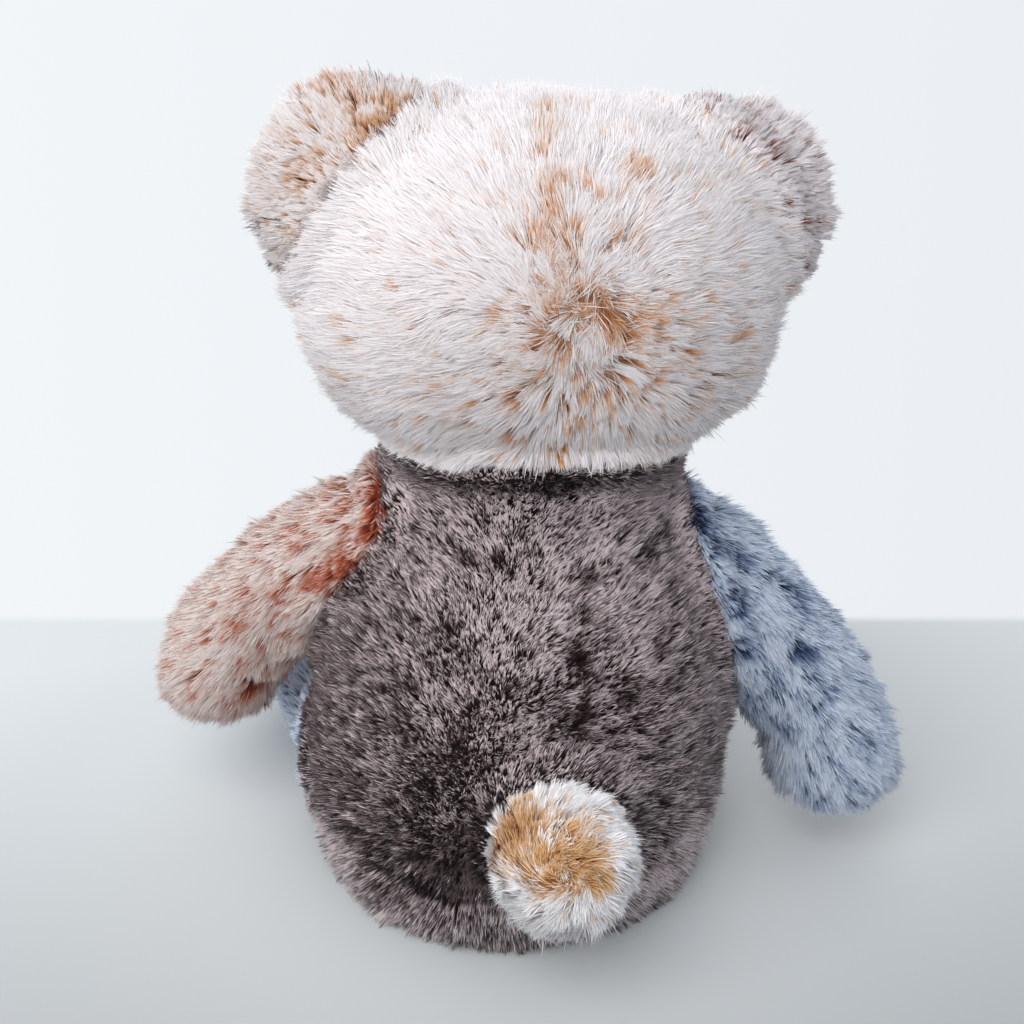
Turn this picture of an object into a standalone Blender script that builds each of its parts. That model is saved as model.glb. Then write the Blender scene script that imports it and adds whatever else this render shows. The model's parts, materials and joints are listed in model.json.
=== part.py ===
"""A sitting teddy bear in patchwork plush, built the way it is sewn and stuffed.

Metres, +Z up. The bear faces -Y and the middle of its seat rests on the origin. Left and right are
the bear's own, so its left is +X. Each plush cover is as thick as its backing and pile together, and
is open where its stuffing meets the next piece.
"""

import math

import bmesh
import bpy
from mathutils import Matrix, Vector

GAP = 0.0003
COVER = 0.008

LEAN = math.radians(2.4)

# Body: (radius across, radius in depth, height) from the middle of the seat up to the neck
BODY_OUTLINE = (
    (0.000, 0.000, 0.000),
    (0.052, 0.051, 0.000),
    (0.063, 0.062, 0.013),
    (0.0655, 0.0635, 0.046),
    (0.0590, 0.0565, 0.086),
    (0.0465, 0.0460, 0.114),
    (0.0420, 0.0405, 0.134),
    (0.0390, 0.0375, 0.146),
    (0.0240, 0.0240, 0.1535),
    (0.000, 0.000, 0.155),
)
NECK_OPENING = 0.020
BACK_SEAM_TURN = math.radians(9)
BACK_SEAM_DEPTH = 0.0025
BACK_SEAM_WIDTH = 0.006
SHOULDER_CREASE_HEIGHT = 0.121
SHOULDER_CREASE_DEPTH = 0.0015
SHOULDER_CREASE_WIDTH = 0.006
SEAT_GATHERS = 14
SEAT_GATHER_DEPTH = 0.0012
SEAT_GATHER_HEIGHT = 0.010

PELLET_BAG_SIZE = (0.040, 0.038, 0.013)
PELLET_BAG_FULLNESS = 2.6

HEAD_SIZE = (0.069, 0.052, 0.053)
HEAD_JOWL = 0.05
HEAD_FULLNESS = 2.25
HEAD_SINK = 0.0235
HEAD_SHIFT = -0.001
HEAD_BACK = -0.004
HEAD_ROLL = math.radians(5.3)
HEAD_TURN = math.radians(3)
HEAD_SEAM_TURN = math.radians(6)
HEAD_SEAM_DEPTH = 0.0022
HEAD_SEAM_WIDTH = 0.006
HEAD_OPENING = 0.034
# The head is pressed down over the neck, so its height follows from the body's
HEAD_HEIGHT = BODY_OUTLINE[-1][2] - HEAD_SINK + HEAD_SIZE[2]

EAR_RADIUS = 0.029
EAR_LAYER = 0.0085
EAR_FULLNESS = 2.2
EAR_CUP = 0.006
EAR_SPREAD = {"left": 0.051, "right": 0.049}
EAR_RISE = {"left": 0.0257, "right": 0.0240}
EAR_BACK = 0.002
EAR_TILT = {"left": math.radians(28), "right": math.radians(36)}
EAR_TURN = {"left": math.radians(8), "right": math.radians(16)}

MUZZLE_SIZE = (0.027, 0.021, 0.020)
MUZZLE_DROP = 0.014
MUZZLE_REACH = 0.006
MUZZLE_FULLNESS = 2.2

NOSE_SIZE = (0.0095, 0.0055, 0.0065)
NOSE_RISE = math.radians(33)
NOSE_SINK = 0.001
NOSE_FULLNESS = 2.4
NOSE_TAPER = 0.25

EYE_RADIUS = 0.0070
EYE_DOME = 0.0055
EYE_SEAT = 0.004
EYE_STEPS = 4
EYE_SECTORS = 12
EYE_SPREAD = math.radians(27)
EYE_RISE = math.radians(11)
SHANK_RADIUS = 0.0018
SHANK_PROUD = 0.0015
WASHER_RADIUS = 0.0065
WASHER_THICKNESS = 0.0016

# Arm: (share of its length, radius) from the shoulder seam to the paw
ARM_LENGTH = 0.130
ARM_OUTLINE = (
    (0.00, 0.000),
    (0.02, 0.012),
    (0.12, 0.0190),
    (0.38, 0.0190),
    (0.66, 0.0210),
    (0.86, 0.0220),
    (0.97, 0.0130),
    (1.00, 0.000),
)
# Where each arm leaves the body, how far it swings forward, and how steeply it drops at either end
ARM_POSES = {
    "left": ((0.020, 0.005, 0.1235), math.radians(29), math.radians(17), math.radians(76)),
    "right": ((-0.032, -0.004, 0.112), math.radians(-12), math.radians(29), math.radians(80)),
}

# Leg: (distance along, radius across, radius upwards) from the hip to the sole
LEG_OUTLINE = (
    (0.000, 0.000, 0.000),
    (0.003, 0.016, 0.016),
    (0.020, 0.0265, 0.0265),
    (0.055, 0.0245, 0.0240),
    (0.084, 0.0265, 0.0285),
    (0.098, 0.0255, 0.0310),
    (0.103, 0.0190, 0.0245),
    (0.104, 0.000, 0.000),
)
LEG_FLAT = 0.0020
HIP_SPREAD = 0.036
HIP_BACK = 0.008
LEG_SPLAY = math.radians(11)
FOOT_PAD_SIZE = (0.0175, 0.0225)
FOOT_PAD_PROUD = 0.0010
FOOT_PAD_FULLNESS = 2.6

TAIL_RADIUS = 0.0205
TAIL_REACH = 0.0165
TAIL_HEIGHT = 0.044
TAIL_TURN = math.radians(2)
TAIL_SWIRL_DEPTH = 0.0018
TAIL_LOCKS = 5
TAIL_TWIST = 9

SIDES = {"left": 1, "right": -1}

# How finely each form is divided: (round about, from end to end)
BODY_MESH = (28, 18)
HEAD_MESH = (28, 16)
ARM_MESH = (16, 14)
LEG_MESH = (18, 15)
TAIL_MESH = (18, 12)
PATCH_MESH = (16, 8)
TRUNK_CAVITY_MESH = (16, 12)
LIMB_CAVITY_MESH = (10, 10)
POST_SECTORS = 24

COLOURS = {
    "cream_plush": (0.80, 0.70, 0.66),
    "beige_plush": (0.62, 0.46, 0.40),
    "rust_plush": (0.62, 0.38, 0.32),
    "dark_rust_plush": (0.42, 0.25, 0.22),
    "blue_plush": (0.42, 0.48, 0.56),
    "brown_plush": (0.17, 0.13, 0.12),
    "tan_plush": (0.72, 0.52, 0.31),
    "sole_velour": (0.66, 0.52, 0.42),
    "nose_velour": (0.05, 0.03, 0.025),
    "eye_plastic": (0.012, 0.010, 0.010),
    "washer_plastic": (0.80, 0.80, 0.78),
    "polyester_fill": (0.88, 0.88, 0.86),
    "pellet_cotton": (0.78, 0.76, 0.70),
}


def clear_scene():
    for thing in list(bpy.data.objects):
        bpy.data.objects.remove(thing, do_unlink=True)


def material(name):
    found = bpy.data.materials.get(name)
    if found:
        return found
    made = bpy.data.materials.new(name)
    made.use_nodes = True
    shader = made.node_tree.nodes["Principled BSDF"]
    shader.inputs["Base Color"].default_value = (*COLOURS[name], 1)
    shader.inputs["Roughness"].default_value = 0.15 if name == "eye_plastic" else 0.9
    return made


def curve_point(points, share):
    """A point on the smooth Catmull-Rom curve through the points, share running from 0 to 1."""
    span = share * (len(points) - 1)
    start = min(int(span), len(points) - 2)
    t = span - start
    before = points[max(start - 1, 0)]
    after = points[min(start + 2, len(points) - 1)]
    found = []
    for a, b, c, d in zip(before, points[start], points[start + 1], after):
        slope = c - a
        bend = 2 * a - 5 * b + 4 * c - d
        turn = 3 * b - a - 3 * c + d
        found.append(b + (slope * t + bend * t**2 + turn * t**3) / 2)
    return found


def polar(direction):
    """How far a direction lies from straight down, as a share, and its angle round the vertical."""
    share = math.acos(max(-1.0, min(1.0, -direction.z))) / math.pi
    return share, math.atan2(direction.y, direction.x)


def bell(distance, width):
    return math.exp(-((distance / width) ** 2))


def wrapped(angle):
    return (angle + math.pi) % (2 * math.pi) - math.pi


def leaned(point):
    return Vector((point.x - point.z * math.tan(LEAN), point.y, point.z))


def superellipsoid(direction, size, fullness):
    """The point of a rounded box-like egg in a direction. A fullness of 2 is a plain ellipsoid."""
    reach = sum(abs(d / s) ** fullness for d, s in zip(direction, size)) ** (-1 / fullness)
    return direction * reach


def cushion(direction, size, fullness):
    """A flat round cushion facing along Y, evened out so that its rings run round that axis."""
    around = Vector((direction.x, -direction.z, direction.y))
    return Vector(
        s * math.copysign(abs(d) ** (2 / fullness), d) for d, s in zip(around, size)
    )


def finish(name, mesh, colour=None):
    """Makes the object. One without a colour is a cutter, which the finished bear leaves out."""
    data = bpy.data.meshes.new(name)
    mesh.to_mesh(data)
    mesh.free()
    data.shade_smooth()
    thing = bpy.data.objects.new(name, data)
    bpy.context.scene.collection.objects.link(thing)
    if colour:
        data.materials.append(material(colour))
    else:
        thing.hide_render = True
        thing.display_type = "WIRE"
    return thing


def form(name, shape, fineness, colour=None, grow=0.0):
    """A closed soft form: a sphere with each point moved onto the shape, then out along its normal."""
    sectors, rings = fineness
    mesh = bmesh.new()
    bmesh.ops.create_uvsphere(mesh, u_segments=sectors, v_segments=rings, radius=1)
    for vertex in mesh.verts:
        vertex.co = shape(vertex.co.normalized())
    mesh.normal_update()
    moves = [vertex.normal * grow for vertex in mesh.verts]
    for vertex, move in zip(mesh.verts, moves):
        vertex.co += move
    bmesh.ops.triangulate(mesh, faces=mesh.faces, quad_method="FIXED")
    return finish(name, mesh, colour)


def turned(name, profile, steps, colour=None):
    """A solid of revolution about Z from its (radius, height) profile, top to bottom."""
    mesh = bmesh.new()
    rows = [mesh.verts.new((radius, 0, height)) for radius, height in profile]
    edges = [mesh.edges.new(pair) for pair in zip(rows, rows[1:])]
    bmesh.ops.spin(
        mesh,
        geom=rows + edges,
        axis=(0, 0, 1),
        cent=(0, 0, 0),
        angle=2 * math.pi,
        steps=steps,
        use_merge=True,
    )
    bmesh.ops.remove_doubles(mesh, verts=mesh.verts, dist=1e-6)
    bmesh.ops.recalc_face_normals(mesh, faces=mesh.faces)
    return finish(name, mesh, colour)


def post(name, radius, bottom, top):
    """An upright cylinder round the neck's axis."""
    middle = leaned(Vector((0, 0, BODY_OUTLINE[-1][2])))
    middle.z = (bottom + top) / 2
    mesh = bmesh.new()
    bmesh.ops.create_cone(
        mesh,
        cap_ends=True,
        segments=POST_SECTORS,
        radius1=radius,
        radius2=radius,
        depth=top - bottom,
        matrix=Matrix.Translation(middle),
    )
    return finish(name, mesh)


def boolean(thing, other, operation="DIFFERENCE"):
    step = thing.modifiers.new(other.name, "BOOLEAN")
    step.operation = operation
    step.object = other
    step.solver = "EXACT"


def body_shape(direction):
    share, angle = polar(direction)
    across, depth, height = curve_point(BODY_OUTLINE, share)
    from_seam = wrapped(angle - math.pi / 2 - BACK_SEAM_TURN)
    hollow = BACK_SEAM_DEPTH * bell(from_seam * depth, BACK_SEAM_WIDTH)
    behind = max(0.0, math.sin(angle))
    crease = bell(height - SHOULDER_CREASE_HEIGHT, SHOULDER_CREASE_WIDTH)
    hollow += SHOULDER_CREASE_DEPTH * crease * math.sqrt(behind)
    gathers = bell(height - SEAT_GATHER_HEIGHT, SEAT_GATHER_HEIGHT)
    hollow += SEAT_GATHER_DEPTH * gathers * math.cos(SEAT_GATHERS * from_seam)
    at = Vector(
        (
            max(across - hollow, 0) * math.cos(angle),
            max(depth - hollow, 0) * math.sin(angle),
            max(height, 0),
        )
    )
    return leaned(at)


def head_frame():
    """Places the head, and what is sewn to it, from coordinates about its own middle."""
    middle = leaned(Vector((HEAD_SHIFT, HEAD_BACK, HEAD_HEIGHT)))
    turn = Matrix.Rotation(HEAD_TURN, 4, "Z") @ Matrix.Rotation(-HEAD_ROLL, 4, "Y")
    return Matrix.Translation(middle) @ turn


def head_surface(direction):
    """A point of the head, about its own middle."""
    _, angle = polar(direction)
    point = superellipsoid(direction, HEAD_SIZE, HEAD_FULLNESS)
    point.x *= 1 - HEAD_JOWL * point.z / HEAD_SIZE[2]
    from_seam = wrapped(angle - math.pi / 2 - HEAD_SEAM_TURN)
    round_about = math.hypot(point.x, point.y)
    hollow = HEAD_SEAM_DEPTH * bell(from_seam * round_about, HEAD_SEAM_WIDTH)
    return point - direction * hollow * min(1, round_about / HEAD_SEAM_WIDTH)


def head_shape(direction):
    return head_frame() @ head_surface(direction)


def facing(turn, rise):
    """A direction from the head's middle: turned from straight ahead and raised from level."""
    return Vector(
        (
            math.sin(turn) * math.cos(rise),
            -math.cos(turn) * math.cos(rise),
            math.sin(rise),
        )
    )


def ear_frame(side):
    sign = SIDES[side]
    place = Vector((sign * EAR_SPREAD[side], EAR_BACK, EAR_RISE[side]))
    turn = Matrix.Rotation(sign * (math.pi / 2 - EAR_TILT[side]), 4, "Y")
    return head_frame() @ Matrix.Translation(place) @ turn @ Matrix.Rotation(sign * EAR_TURN[side], 4, "Z")


def ear_shape(side, layer):
    """One layer of an ear: a flat-sided cushion, cupped towards the front."""
    frame = ear_frame(side)

    def shape(direction):
        point = cushion(direction, (EAR_RADIUS, EAR_LAYER, EAR_RADIUS), EAR_FULLNESS)
        point.y = layer * (max(layer * point.y, 0) + GAP / 2)
        rim = math.hypot(point.x, point.z) / EAR_RADIUS
        point.y -= EAR_CUP * (rim**2 - 0.5)
        return frame @ point

    return shape


def muzzle_shape(direction):
    middle = Vector((0, -HEAD_SIZE[1] + MUZZLE_REACH, -MUZZLE_DROP))
    return head_frame() @ (middle + superellipsoid(direction, MUZZLE_SIZE, MUZZLE_FULLNESS))


def nose_shape(direction):
    ahead = facing(0, NOSE_RISE)
    middle = Vector((0, -HEAD_SIZE[1] + MUZZLE_REACH, -MUZZLE_DROP))
    middle += superellipsoid(ahead, MUZZLE_SIZE, MUZZLE_FULLNESS) - ahead * NOSE_SINK
    point = superellipsoid(direction, NOSE_SIZE, NOSE_FULLNESS)
    point.x *= 1 + NOSE_TAPER * point.z / NOSE_SIZE[2]
    tip = Matrix.Rotation(NOSE_RISE, 4, "X").inverted()
    return head_frame() @ (middle + tip @ point)


def eye_frame(side):
    """Stands an eye on the head cover, with its shank pointing in."""
    ahead = facing(SIDES[side] * EYE_SPREAD, EYE_RISE)
    place = head_surface(ahead)
    slope = Vector(
        abs(p / s) ** (HEAD_FULLNESS - 1) / s * math.copysign(1, p) for p, s in zip(place, HEAD_SIZE)
    ).normalized()
    seat = place - slope * EYE_SEAT
    return head_frame() @ Matrix.Translation(seat) @ slope.to_track_quat("Z", "Y").to_matrix().to_4x4()


def washer_top():
    return -(COVER - EYE_SEAT) - GAP


def eye_dome(grow):
    """The dome's profile from its top down to the rim of its flat back."""
    quarter = (math.pi / 2 * step / EYE_STEPS for step in range(EYE_STEPS + 1))
    dome = [((EYE_RADIUS + grow) * math.sin(a), (EYE_DOME + grow) * math.cos(a)) for a in quarter]
    return dome + [(EYE_RADIUS + grow, -grow)] if grow else dome


def shank_end():
    return washer_top() - WASHER_THICKNESS - SHANK_PROUD


def eye_profile():
    """A dome with a flat back, then the shank down through the cover and the washer."""
    return eye_dome(0) + [(SHANK_RADIUS, 0), (SHANK_RADIUS, shank_end()), (0, shank_end())]


def washer_profile():
    top = washer_top()
    bottom = top - WASHER_THICKNESS
    inner = SHANK_RADIUS + GAP
    return [(inner, top), (WASHER_RADIUS, top), (WASHER_RADIUS, bottom), (inner, bottom), (inner, top)]


def eye_room_profile():
    """The space that an eye and its washer take up in the cover and the stuffing."""
    shank = SHANK_RADIUS + GAP
    washer = WASHER_RADIUS + GAP
    top = washer_top() + GAP
    bottom = washer_top() - WASHER_THICKNESS - GAP
    end = shank_end() - GAP
    fitted = [(shank, -GAP), (shank, top), (washer, top), (washer, bottom), (shank, bottom)]
    return eye_dome(GAP) + fitted + [(shank, end), (0, end)]


def arm_shape(side):
    """A stuffed arm: its middle line bends evenly from the first drop to the last."""
    root, swing, first, last = ARM_POSES[side]
    ahead = Vector((SIDES[side] * math.cos(swing), -math.sin(swing), 0))
    across = Vector((0, 0, 1)).cross(ahead)
    bend = last - first

    def shape(direction):
        share, angle = polar(direction)
        along, radius = curve_point(ARM_OUTLINE, share)
        drop = first + bend * along
        run = ARM_LENGTH * (math.sin(drop) - math.sin(first)) / bend
        fall = ARM_LENGTH * (math.cos(first) - math.cos(drop)) / bend
        rise = Vector((0, 0, 1)) * math.cos(drop) + ahead * math.sin(drop)
        middle = Vector(root) + ahead * run - Vector((0, 0, fall))
        return leaned(middle + (across * math.cos(angle) + rise * math.sin(angle)) * max(radius, 0))

    return shape


def leg_frame(side):
    sign = SIDES[side]
    hip = Vector((sign * HIP_SPREAD, HIP_BACK, 0))
    ahead = Vector((sign * math.sin(LEG_SPLAY), -math.cos(LEG_SPLAY), 0))
    return hip, ahead, Vector((0, 0, 1)).cross(ahead)


def leg_shape(side):
    """A stuffed leg lying on the floor, flat underneath, with its sole at the far end."""
    hip, ahead, across = leg_frame(side)

    def shape(direction):
        share, angle = polar(direction)
        along, wide, high = curve_point(LEG_OUTLINE, share)
        middle = hip + ahead * along
        thickest = max(station[2] for station in LEG_OUTLINE[:4])
        middle.z = max(high, thickest) - LEG_FLAT
        point = middle + across * wide * math.cos(angle) + Vector((0, 0, high * math.sin(angle)))
        point.z = max(point.z, 0)
        return point

    return shape


def foot_pad_shape(side):
    """The sole: an oval pad as thick as the cover, let into the end of the leg."""
    hip, ahead, across = leg_frame(side)
    sole = LEG_OUTLINE[-1][0] + FOOT_PAD_PROUD
    tallest = max(station[2] for station in LEG_OUTLINE)
    thick = COVER + 2 * FOOT_PAD_PROUD

    def shape(direction):
        wide, high = FOOT_PAD_SIZE
        point = cushion(direction, (wide, thick / 2, high), FOOT_PAD_FULLNESS)
        middle = hip + ahead * (sole - thick / 2)
        return middle + across * point.x - ahead * point.y + Vector((0, 0, tallest - LEG_FLAT + point.z))

    return shape


def tail_shape(direction):
    turn = math.pi / 2 + TAIL_TURN
    back = max(station[1] for station in BODY_OUTLINE)
    outward = Vector((math.cos(turn), math.sin(turn), 0))
    middle = leaned(outward * (back + TAIL_REACH - TAIL_RADIUS / 2) + Vector((0, 0, TAIL_HEIGHT)))
    share, angle = polar(direction)
    swirl = TAIL_SWIRL_DEPTH * math.cos(TAIL_LOCKS * angle + TAIL_TWIST * share)
    swirl *= math.sin(math.pi * share)
    point = direction * (TAIL_RADIUS - max(swirl, 0))
    return middle + outward.to_track_quat("Z", "Y") @ point


def pellet_shape(direction):
    middle = Vector((0, 0, COVER + GAP + PELLET_BAG_SIZE[2]))
    return leaned(middle + superellipsoid(direction, PELLET_BAG_SIZE, PELLET_BAG_FULLNESS))


def build_cutters():
    """The outer forms grown by the gap, which cut whatever is sewn against them."""
    return {
        "body": form("body_cutter", body_shape, BODY_MESH, grow=GAP),
        "head": form("head_cutter", head_shape, HEAD_MESH, grow=GAP),
        "muzzle": form("muzzle_cutter", muzzle_shape, PATCH_MESH, grow=GAP),
        "pellets": form("pellet_cutter", pellet_shape, PATCH_MESH, grow=GAP),
    }


def build_stuffed(name, shape, outer, inner, colour):
    """A cover with its cavity, and the stuffing that fills it."""
    cover = form(f"{name}_cover", shape, outer, colour)
    cavity = form(f"{name}_cavity", shape, inner, grow=-COVER)
    stuffing = form(f"{name}_stuffing", shape, inner, "polyester_fill", grow=-COVER - GAP)
    boolean(cover, cavity)
    return cover, stuffing


def build_body(cutters):
    cover, stuffing = build_stuffed("body", body_shape, BODY_MESH, TRUNK_CAVITY_MESH, "brown_plush")
    top = BODY_OUTLINE[-1][2]
    plug_top = BODY_OUTLINE[-2][2]
    bottom = BODY_OUTLINE[-3][2] - COVER
    boolean(cover, post("neck_cutter", NECK_OPENING, bottom, top + COVER))
    plug = post("neck_plug", NECK_OPENING - GAP, bottom, plug_top)
    boolean(stuffing, plug, "UNION")
    boolean(stuffing, cutters["pellets"])
    form("pellet_bag", pellet_shape, PATCH_MESH, "pellet_cotton")


def build_head(cutters):
    cover, stuffing = build_stuffed("head", head_shape, HEAD_MESH, TRUNK_CAVITY_MESH, "cream_plush")
    boolean(cover, post("collar_cutter", HEAD_OPENING, BODY_OUTLINE[-3][2] - COVER, HEAD_HEIGHT - COVER))
    boolean(cover, cutters["body"])
    boolean(stuffing, cutters["body"])
    for side in SIDES:
        build_eye(side, cover, stuffing)


def build_eye(side, cover, stuffing):
    eye = turned(f"eye_{side}", eye_profile(), EYE_SECTORS, "eye_plastic")
    washer = turned(f"eye_washer_{side}", washer_profile(), EYE_SECTORS, "washer_plastic")
    room = turned(f"eye_cutter_{side}", eye_room_profile(), EYE_SECTORS)
    for piece in (eye, washer, room):
        piece.data.transform(eye_frame(side))
    for piece in (cover, stuffing):
        boolean(piece, room)


def build_face(cutters):
    muzzle = form("muzzle", muzzle_shape, PATCH_MESH, "cream_plush")
    boolean(muzzle, cutters["head"])
    nose = form("nose", nose_shape, PATCH_MESH, "nose_velour")
    boolean(nose, cutters["muzzle"])


def build_ears(cutters):
    for side, colour in (("left", "beige_plush"), ("right", "dark_rust_plush")):
        for place, layer in (("back", 1), ("front", -1)):
            ear = form(f"ear_{side}_{place}", ear_shape(side, layer), PATCH_MESH, colour)
            boolean(ear, cutters["head"])


def build_arms(cutters):
    for side, colour in (("left", "rust_plush"), ("right", "blue_plush")):
        pieces = build_stuffed(f"arm_{side}", arm_shape(side), ARM_MESH, LIMB_CAVITY_MESH, colour)
        for piece in pieces:
            boolean(piece, cutters["body"])


def build_legs(cutters):
    for side, colour in (("left", "blue_plush"), ("right", "rust_plush")):
        pieces = build_stuffed(f"leg_{side}", leg_shape(side), LEG_MESH, LIMB_CAVITY_MESH, colour)
        form(f"foot_pad_{side}", foot_pad_shape(side), PATCH_MESH, "sole_velour")
        opening = form(f"sole_cutter_{side}", foot_pad_shape(side), PATCH_MESH, grow=GAP)
        for piece in pieces:
            boolean(piece, cutters["body"])
            boolean(piece, opening)


def build_tail(cutters):
    tail = form("tail", tail_shape, TAIL_MESH, "tan_plush")
    boolean(tail, cutters["body"])


def main():
    clear_scene()
    cutters = build_cutters()
    build_body(cutters)
    build_head(cutters)
    build_face(cutters)
    build_ears(cutters)
    build_arms(cutters)
    build_legs(cutters)
    build_tail(cutters)


main()
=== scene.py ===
"""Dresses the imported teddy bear: sewn skins, a pile of fine blades, nose, eyes, fill, floor and light.

Metres. The bear faces -Y and its left is +X. The camera looks at its back.
"""

import json
import math

import bmesh
import bpy
import numpy as np
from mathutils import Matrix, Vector
from mathutils.bvhtree import BVHTree
from mathutils.kdtree import KDTree

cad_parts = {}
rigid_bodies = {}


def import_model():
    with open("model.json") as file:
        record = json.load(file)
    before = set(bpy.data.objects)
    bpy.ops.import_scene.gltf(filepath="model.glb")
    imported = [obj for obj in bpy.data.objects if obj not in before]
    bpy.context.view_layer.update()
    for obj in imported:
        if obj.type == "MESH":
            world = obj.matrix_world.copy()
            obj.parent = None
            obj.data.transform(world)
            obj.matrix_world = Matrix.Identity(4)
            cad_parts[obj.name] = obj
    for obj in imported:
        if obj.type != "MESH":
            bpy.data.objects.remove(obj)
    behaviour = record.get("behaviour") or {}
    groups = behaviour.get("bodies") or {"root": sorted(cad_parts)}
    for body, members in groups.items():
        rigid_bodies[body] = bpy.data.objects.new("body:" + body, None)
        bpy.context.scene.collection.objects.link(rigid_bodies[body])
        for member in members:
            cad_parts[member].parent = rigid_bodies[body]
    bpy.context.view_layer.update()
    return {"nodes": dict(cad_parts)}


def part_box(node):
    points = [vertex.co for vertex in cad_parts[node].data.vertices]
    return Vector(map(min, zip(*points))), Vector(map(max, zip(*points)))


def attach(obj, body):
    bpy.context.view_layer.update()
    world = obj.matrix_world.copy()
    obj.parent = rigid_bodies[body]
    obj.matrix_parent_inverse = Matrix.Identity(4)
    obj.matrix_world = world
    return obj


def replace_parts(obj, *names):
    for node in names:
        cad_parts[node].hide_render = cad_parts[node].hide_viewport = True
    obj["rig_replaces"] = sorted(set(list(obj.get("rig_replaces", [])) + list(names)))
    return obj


for startup in list(bpy.data.objects):
    bpy.data.objects.remove(startup)
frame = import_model()
NODES = frame["nodes"]

PILE_UV = "OFBake"
MM = 0.001
MM2_PER_M2 = 1e6

# Camera and stage
CAMERA_AZIMUTH, CAMERA_ELEVATION = 172.0, 28.0
CAMERA_DISTANCE = 0.500
CAMERA_TARGET = (0.0, 0.0, 0.116)
CAMERA_LENS = 60.645
CAMERA_CLIP = (0.01, 20.0)
SENSOR_WIDTH = 36.0
VIEW_SIZE = 1024
FLOOR_REACH = 4.0
TABLE_EDGE = (0.126, 0.133)
# Painted light: the table is paler within these distances of the bear, which thins the bear's shadows there
PAINTED_LIGHT_NEAR = (0.06, 0.17)
PAINTED_LIGHT_LIFT = -0.34
TABLE_FADE = (0.34, 0.80)
# Painted shade: the table greys toward the camera and, by the slant, toward the right of the view
PAINTED_SHADE_SLOPE = (-0.13, 0.24)
PAINTED_SHADE_SLANT = 0.2
# Painted shade: the wall's white greys toward the right of the view over this spread
WALL_SHADE_SPREAD = 0.33
SKY_LOW, SKY_HIGH = 0.70, 0.92
LIGHT_SIZE = 1.2
LIGHT_COLOUR = (1.0, 0.98, 0.96)
LIGHT_TARGET = Vector((0, 0, 0.1))
LIGHTS = (
    ("key", 10.3, Vector((0.52, 0.66, 0.86))),
    ("fill", 3.2, Vector((-0.35, -0.95, 0.55))),
)

# Skins and seams
FLOOR_CLEARANCE = 0.3 * MM
COVER_GAP, GAP_REACH = 0.3 * MM, 0.5 * MM
SEAT_BAND = 6 * MM
SEAT_FACING = (0.75, 0.95)
SEAT_SHARE = 0.8
UNDERSIDE = -0.8
SKIN_START = 0.5 * MM
SEAM_START = 1 * MM
SEAM_REACH = 9 * MM
PATCH_WAVES = 14
PATCH_STRETCH = 0.65

# Blades. A pair given to a random draw is its start and its spread.
BLADE_HALF_UV = 0.006
ROOT_V, TIP_V = 0.02, 0.98
FROST_SPREAD = 1.1
PILE_DEPTH = 5 * MM
CUT_AT_SEAM = 0.6
LOOSE_SHARE = 0.07
BARE_SHADE = (0.45, 0.35)
PULL_SPREAD = (0.5, 0.5)
WIDTH_SPREAD = (0.7, 0.6)
NOTCH = (0.4, 0.45)
LENGTH_SPREAD = (0.09, 0.12, 0.14)
LENGTH_RANGE = (0.4, 1.7)
STEEPEST_LEAN = 80
BLADE_TWIST = 25
SHADING_ROLL, SHADING_JITTER = 0.12, 0.05
SHADE_RANGE = (0.02, 0.98)
HEAD_MARK_STRENGTH, BODY_MARK_STRENGTH = 2.0, 1.25

# Share of the blades on the hidden side, and what the side in view has beyond it
HIDDEN_WEIGHT, SEEN_EXTRA = 0.42, 0.58
BACK_TURN = (-0.35, 0.2)

# Depths by which the skins are drawn in
HEAD_DEPTH, BODY_DEPTH, TAIL_DEPTH, MUZZLE_DEPTH = 6.0 * MM, 5.4 * MM, 5.0 * MM, 3 * MM
ARM_DEPTH, LEG_DEPTH, EAR_DEPTH, VELOUR_DEPTH = 5.8 * MM, 5.2 * MM, 4.8 * MM, 0.3 * MM

# Places on the bear
HEAD_CENTRE = np.array((-0.0085, -0.004, 0.187))
EYE_CLEARING = 8 * MM
EAR_ROOT_DEPTH = 22 * MM
TAIL_CENTRE = np.array((-0.0043, 0.0748, 0.0434))
TAIL_AXIS = np.array((0.0, 0.87, 0.49))
CREASE_HEIGHT = 0.1165
BODY_SPLIT = -0.012

# Levels on the head: where a change starts and where it is full
HEAD_TOP = (0.245, 0.239)
# Painted shade, and a more uneven tone, toward the neck
NECK_SHADE_AND_TONE = (0.205, 0.165)
NECK_ROOTS = (0.205, 0.170)
NECK_TUFTS = (0.195, 0.165)
NECK_TRIM = (0.158, 0.142)
FACE_SIDE = (0.005, -0.03)
FACE_NAP = np.array((0.0, -1.0, -0.7))
BACK_VIEW = np.array((0.1, 0.88, 0.47))

# Pixels of the photograph's view
WHORL_PIXELS = ((586, 318), (585, 372))
SKULL_SEAM_PIXELS = (
    (545, 90), (548, 120), (550, 160), (552, 200), (557, 240), (570, 280),
    (586, 318), (588, 350), (586, 385), (582, 420), (576, 450),
)
BACK_SEAM_PIXELS = ((562, 490), (575, 540), (586, 600), (590, 660), (590, 730), (575, 775))
TAIL_POLE_PIXEL = (575, 875)

INSIDE = ("stuffing", "washer", "pellet_bag")
COVERS = [name for name in NODES if not any(word in name for word in INSIDE)]


def linear(red, green, blue):
    """A colour from 0 to 255, as a screen shows it, in linear light."""
    parts = [c / 255 for c in (red, green, blue)]
    return tuple(c / 12.92 if c <= 0.04045 else ((c + 0.055) / 1.055) ** 2.4 for c in parts) + (1.0,)


def unit(vectors):
    return vectors / np.maximum(np.linalg.norm(vectors, axis=-1, keepdims=True), 1e-12)


def smoothstep(low, high, values):
    share = np.clip((values - low) / (high - low), 0, 1)
    return share * share * (3 - 2 * share)


def tangent(vectors, normals):
    """The part of each vector that lies in the surface."""
    return vectors - normals * (vectors * normals).sum(axis=1, keepdims=True)


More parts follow.
